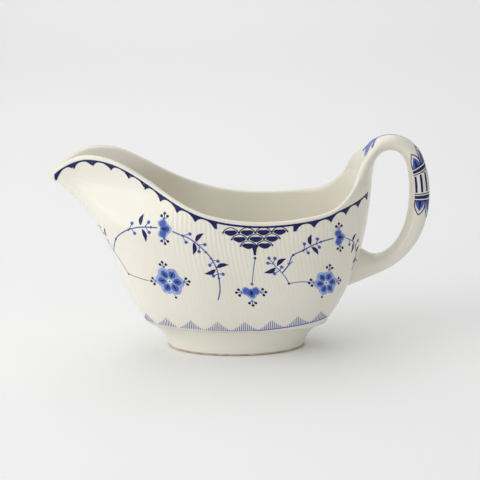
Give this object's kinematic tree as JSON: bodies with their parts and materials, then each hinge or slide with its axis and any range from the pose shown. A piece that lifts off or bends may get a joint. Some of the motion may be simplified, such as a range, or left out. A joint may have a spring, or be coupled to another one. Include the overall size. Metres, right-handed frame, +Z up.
{
  "type": "cream jug",
  "caption": "Boat-shaped glazed ceramic cream jug with a long pouring lip, an oval flared foot ring and a high loop handle.",
  "frame": {"origin": "centre of the object's box on the plane that the foot rests on", "axes": "+X from the spout towards the handle, +Z up, +Y across the body, which mirrors in the XZ plane"},
  "size_m": [0.198, 0.0842, 0.1121],
  "materials": {
    "body_glaze": "clear gloss glaze over a cream-white body",
    "foot_glaze": "clear gloss glaze, wiped off the resting edge",
    "handle_glaze": "clear gloss glaze",
    "slip": "fired slip under glaze"
  },
  "bodies": {
    "root": {"bowl": "body_glaze", "foot_ring": "foot_glaze", "handle": "handle_glaze", "handle_top_lute": "slip", "handle_bottom_lute": "slip"}
  },
  "joints": []
}
